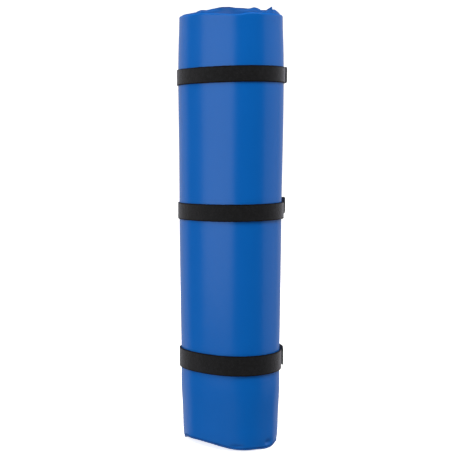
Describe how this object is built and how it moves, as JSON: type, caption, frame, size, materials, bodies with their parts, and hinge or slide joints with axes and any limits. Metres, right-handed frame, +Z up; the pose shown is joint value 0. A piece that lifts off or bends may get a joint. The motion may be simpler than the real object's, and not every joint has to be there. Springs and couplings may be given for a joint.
{
  "type": "foam sleeping pad",
  "caption": "Foam sleeping mat in a coated fabric cover with welded edges, rolled up and held by hook-and-loop straps.",
  "frame": {"origin": "under the middle of the roll, on the surface that the roll stands on", "axes": "+Z up along the roll; +X to the right, the side where the straps' pull tabs are; +Y back; the mat's free end is on the left"},
  "size_m": [0.153, 0.1436, 0.6102],
  "materials": {
    "cover_fabric": "satin coated weave",
    "welded_edge": "satin, heat sealed",
    "foam": "matte foam",
    "loop_tape": "napped loop pile",
    "hook_tape": "moulded hooks",
    "thread": "sewing thread"
  },
  "bodies": {
    "rolled_mat": {"foam_core": "foam", "inner_cover_sheet": "cover_fabric", "outer_cover_sheet": "cover_fabric", "top_edge_weld": "welded_edge", "bottom_edge_weld": "welded_edge", "outer_end_weld": "welded_edge", "inner_end_weld": "welded_edge"},
    "top_strap": {"top_strap_band": "loop_tape", "top_strap_hook_patch": "hook_tape", "top_strap_stitching": "thread"},
    "top_pull_tab": {"top_strap_pull_tab": "loop_tape"},
    "middle_strap": {"middle_strap_band": "loop_tape", "middle_strap_hook_patch": "hook_tape", "middle_strap_stitching": "thread"},
    "middle_pull_tab": {"middle_strap_pull_tab": "loop_tape"},
    "bottom_strap": {"bottom_strap_band": "loop_tape", "bottom_strap_hook_patch": "hook_tape", "bottom_strap_stitching": "thread"},
    "bottom_pull_tab": {"bottom_strap_pull_tab": "loop_tape"}
  },
  "joints": [
    {"name": "top_strap_slide", "type": "slide", "parent": "rolled_mat", "child": "top_strap", "axis": [0, 0, 1], "range_m": [-0.06, 0.06]},
    {"name": "top_tab_peel", "type": "hinge", "parent": "top_strap", "child": "top_pull_tab", "pos_m": [0.07162, 0.01085, 0.519], "axis": [0, 0, 1], "range_deg": [0, 85]},
    {"name": "middle_strap_slide", "type": "slide", "parent": "rolled_mat", "child": "middle_strap", "axis": [0, 0, 1], "range_m": [-0.06, 0.06]},
    {"name": "middle_tab_peel", "type": "hinge", "parent": "middle_strap", "child": "middle_pull_tab", "pos_m": [0.07162, 0.01085, 0.332], "axis": [0, 0, 1], "range_deg": [0, 85]},
    {"name": "bottom_strap_slide", "type": "slide", "parent": "rolled_mat", "child": "bottom_strap", "axis": [0, 0, 1], "range_m": [-0.07, 0.06]},
    {"name": "bottom_tab_peel", "type": "hinge", "parent": "bottom_strap", "child": "bottom_pull_tab", "pos_m": [0.07162, 0.01085, 0.1215], "axis": [0, 0, 1], "range_deg": [0, 85]}
  ]
}
